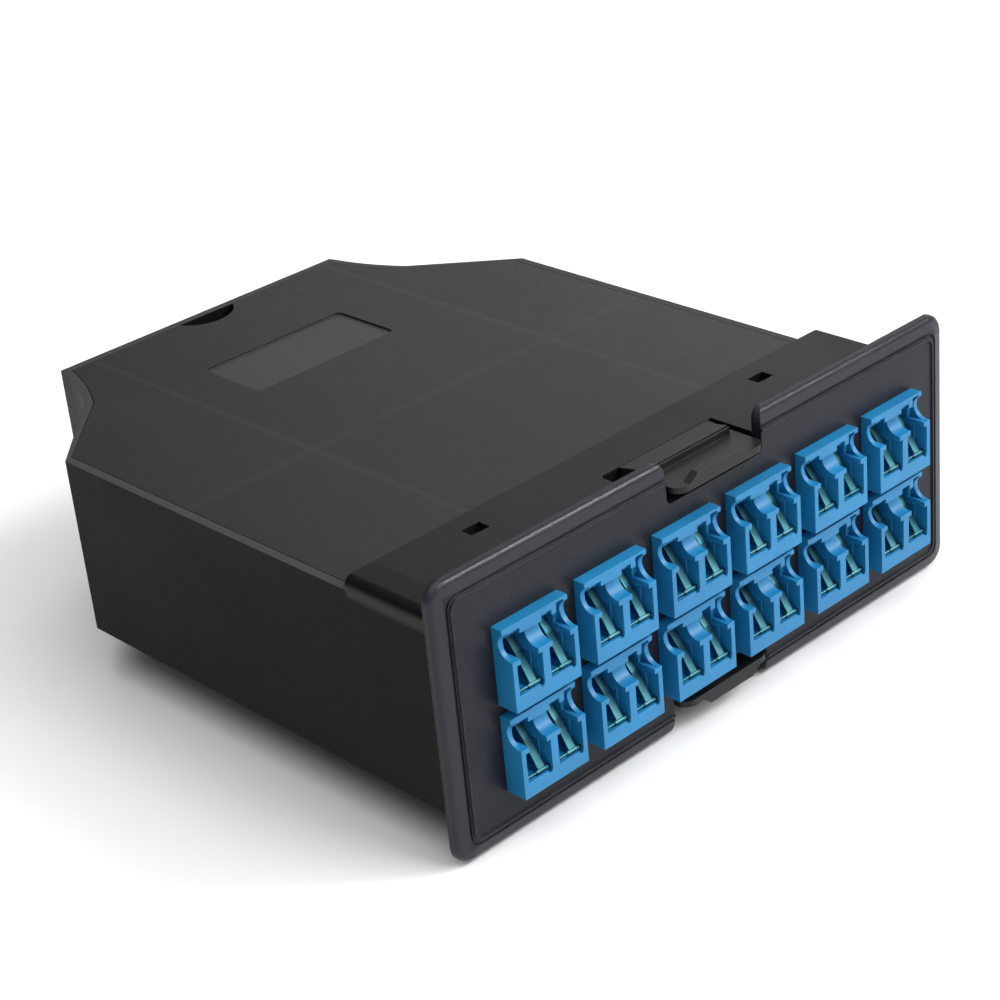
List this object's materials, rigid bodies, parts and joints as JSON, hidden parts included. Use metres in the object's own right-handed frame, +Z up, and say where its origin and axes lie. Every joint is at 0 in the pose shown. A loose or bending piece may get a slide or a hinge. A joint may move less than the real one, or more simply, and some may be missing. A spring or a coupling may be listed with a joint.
{
  "type": "fibre cassette",
  "caption": "Flat black box with scooped rear corners and an offset faceplate holding two rows of blue shuttered duplex LC ports, snapped into a panel to fan trunk fibres out.",
  "frame": {"origin": "centre of the faceplate outline, on the back face of the faceplate, which is the plane that seats on the panel", "axes": "+X across the faceplate, +Y from the faceplate to the rear (the faceplate faces -Y), +Z up through the cover"},
  "size_m": [0.1128, 0.1217, 0.0454],
  "materials": {
    "bezel_plastic": "satin moulded plastic, fine texture",
    "housing_plastic": "satin moulded plastic, fine texture",
    "cover_plastic": "satin moulded plastic, fine texture",
    "latch_plastic": "satin moulded plastic",
    "spring_steel": "bent spring strip",
    "adapter_blue": "satin moulded plastic",
    "shutter_steel": "thin stamped leaf",
    "clip_steel": "stamped spring steel",
    "ceramic": "polished zirconia ceramic",
    "plug_plastic": "satin moulded plastic",
    "boot_rubber": "soft moulded boot",
    "mpo_plastic": "satin moulded plastic",
    "mpo_plug_plastic": "satin moulded plastic",
    "block_plastic": "moulded plastic",
    "fibre_jacket": "thin fibre tube"
  },
  "bodies": {
    "cassette": {"front_bezel": "bezel_plastic", "lower_housing": "housing_plastic", "top_cover": "cover_plastic", "top_latch_spring": "spring_steel", "bottom_latch_spring": "spring_steel", "lc_adapter_top_1": "adapter_blue", "lc_adapter_top_2": "adapter_blue", "lc_adapter_top_3": "adapter_blue", "lc_adapter_top_4": "adapter_blue", "lc_adapter_top_5": "adapter_blue", "lc_adapter_top_6": "adapter_blue", "lc_adapter_bottom_1": "adapter_blue", "lc_adapter_bottom_2": "adapter_blue", "lc_adapter_bottom_3": "adapter_blue", "lc_adapter_bottom_4": "adapter_blue", "lc_adapter_bottom_5": "adapter_blue", "lc_adapter_bottom_6": "adapter_blue", "adapter_clips": "clip_steel", "split_sleeves_top": "ceramic", "lc_plugs_top": "plug_plastic", "lc_ferrules_top": "ceramic", "lc_boots_top": "boot_rubber", "split_sleeves_bottom": "ceramic", "lc_plugs_bottom": "plug_plastic", "lc_ferrules_bottom": "ceramic", "lc_boots_bottom": "boot_rubber", "mpo_adapter_left": "mpo_plastic", "mpo_plug_left": "mpo_plug_plastic", "fanout_block_left": "block_plastic", "mpo_adapter_right": "mpo_plastic", "mpo_plug_right": "mpo_plug_plastic", "fanout_block_right": "block_plastic", "fibre_harness_left": "fibre_jacket", "fibre_harness_right": "fibre_jacket"},
    "top_catch": {"top_latch": "latch_plastic"},
    "bottom_catch": {"bottom_latch": "latch_plastic"},
    "shutter_top_1_leaves": {"shutter_top_1": "shutter_steel"},
    "shutter_top_2_leaves": {"shutter_top_2": "shutter_steel"},
    "shutter_top_3_leaves": {"shutter_top_3": "shutter_steel"},
    "shutter_top_4_leaves": {"shutter_top_4": "shutter_steel"},
    "shutter_top_5_leaves": {"shutter_top_5": "shutter_steel"},
    "shutter_top_6_leaves": {"shutter_top_6": "shutter_steel"},
    "shutter_bottom_1_leaves": {"shutter_bottom_1": "shutter_steel"},
    "shutter_bottom_2_leaves": {"shutter_bottom_2": "shutter_steel"},
    "shutter_bottom_3_leaves": {"shutter_bottom_3": "shutter_steel"},
    "shutter_bottom_4_leaves": {"shutter_bottom_4": "shutter_steel"},
    "shutter_bottom_5_leaves": {"shutter_bottom_5": "shutter_steel"},
    "shutter_bottom_6_leaves": {"shutter_bottom_6": "shutter_steel"}
  },
  "joints": [
    {"name": "top_catch_press", "type": "hinge", "parent": "cassette", "child": "top_catch", "pos_m": [0, 0.0126, 0.0149], "axis": [1, 0, 0], "range_deg": [0, 5.5], "stiffness_Nm_per_rad": 0.2, "deforming": ["top_latch_spring"]},
    {"name": "bottom_catch_press", "type": "hinge", "parent": "cassette", "child": "bottom_catch", "pos_m": [0, 0.0126, -0.0149], "axis": [-1, 0, 0], "range_deg": [0, 5.5], "stiffness_Nm_per_rad": 0.2, "deforming": ["bottom_latch_spring"]},
    {"name": "shutter_top_1_swing", "type": "hinge", "parent": "cassette", "child": "shutter_top_1_leaves", "pos_m": [-0.03982, -0.00472, 0.0025], "axis": [-1, 0, 0], "range_deg": [0, 54], "stiffness_Nm_per_rad": 0.0006},
    {"name": "shutter_top_2_swing", "type": "hinge", "parent": "cassette", "child": "shutter_top_2_leaves", "pos_m": [-0.02363, -0.00472, 0.0025], "axis": [-1, 0, 0], "range_deg": [0, 54], "stiffness_Nm_per_rad": 0.0006},
    {"name": "shutter_top_3_swing", "type": "hinge", "parent": "cassette", "child": "shutter_top_3_leaves", "pos_m": [-0.00745, -0.00472, 0.0025], "axis": [-1, 0, 0], "range_deg": [0, 54], "stiffness_Nm_per_rad": 0.0006},
    {"name": "shutter_top_4_swing", "type": "hinge", "parent": "cassette", "child": "shutter_top_4_leaves", "pos_m": [0.00874, -0.00472, 0.0025], "axis": [-1, 0, 0], "range_deg": [0, 54], "stiffness_Nm_per_rad": 0.0006},
    {"name": "shutter_top_5_swing", "type": "hinge", "parent": "cassette", "child": "shutter_top_5_leaves", "pos_m": [0.02493, -0.00472, 0.0025], "axis": [-1, 0, 0], "range_deg": [0, 54], "stiffness_Nm_per_rad": 0.0006},
    {"name": "shutter_top_6_swing", "type": "hinge", "parent": "cassette", "child": "shutter_top_6_leaves", "pos_m": [0.04113, -0.00472, 0.0025], "axis": [-1, 0, 0], "range_deg": [0, 54], "stiffness_Nm_per_rad": 0.0006},
    {"name": "shutter_bottom_1_swing", "type": "hinge", "parent": "cassette", "child": "shutter_bottom_1_leaves", "pos_m": [-0.03982, -0.00472, -0.01189], "axis": [-1, 0, 0], "range_deg": [0, 54], "stiffness_Nm_per_rad": 0.0006},
    {"name": "shutter_bottom_2_swing", "type": "hinge", "parent": "cassette", "child": "shutter_bottom_2_leaves", "pos_m": [-0.02363, -0.00472, -0.01189], "axis": [-1, 0, 0], "range_deg": [0, 54], "stiffness_Nm_per_rad": 0.0006},
    {"name": "shutter_bottom_3_swing", "type": "hinge", "parent": "cassette", "child": "shutter_bottom_3_leaves", "pos_m": [-0.00745, -0.00472, -0.01189], "axis": [-1, 0, 0], "range_deg": [0, 54], "stiffness_Nm_per_rad": 0.0006},
    {"name": "shutter_bottom_4_swing", "type": "hinge", "parent": "cassette", "child": "shutter_bottom_4_leaves", "pos_m": [0.00874, -0.00472, -0.01189], "axis": [-1, 0, 0], "range_deg": [0, 54], "stiffness_Nm_per_rad": 0.0006},
    {"name": "shutter_bottom_5_swing", "type": "hinge", "parent": "cassette", "child": "shutter_bottom_5_leaves", "pos_m": [0.02493, -0.00472, -0.01189], "axis": [-1, 0, 0], "range_deg": [0, 54], "stiffness_Nm_per_rad": 0.0006},
    {"name": "shutter_bottom_6_swing", "type": "hinge", "parent": "cassette", "child": "shutter_bottom_6_leaves", "pos_m": [0.04113, -0.00472, -0.01189], "axis": [-1, 0, 0], "range_deg": [0, 54], "stiffness_Nm_per_rad": 0.0006}
  ]
}
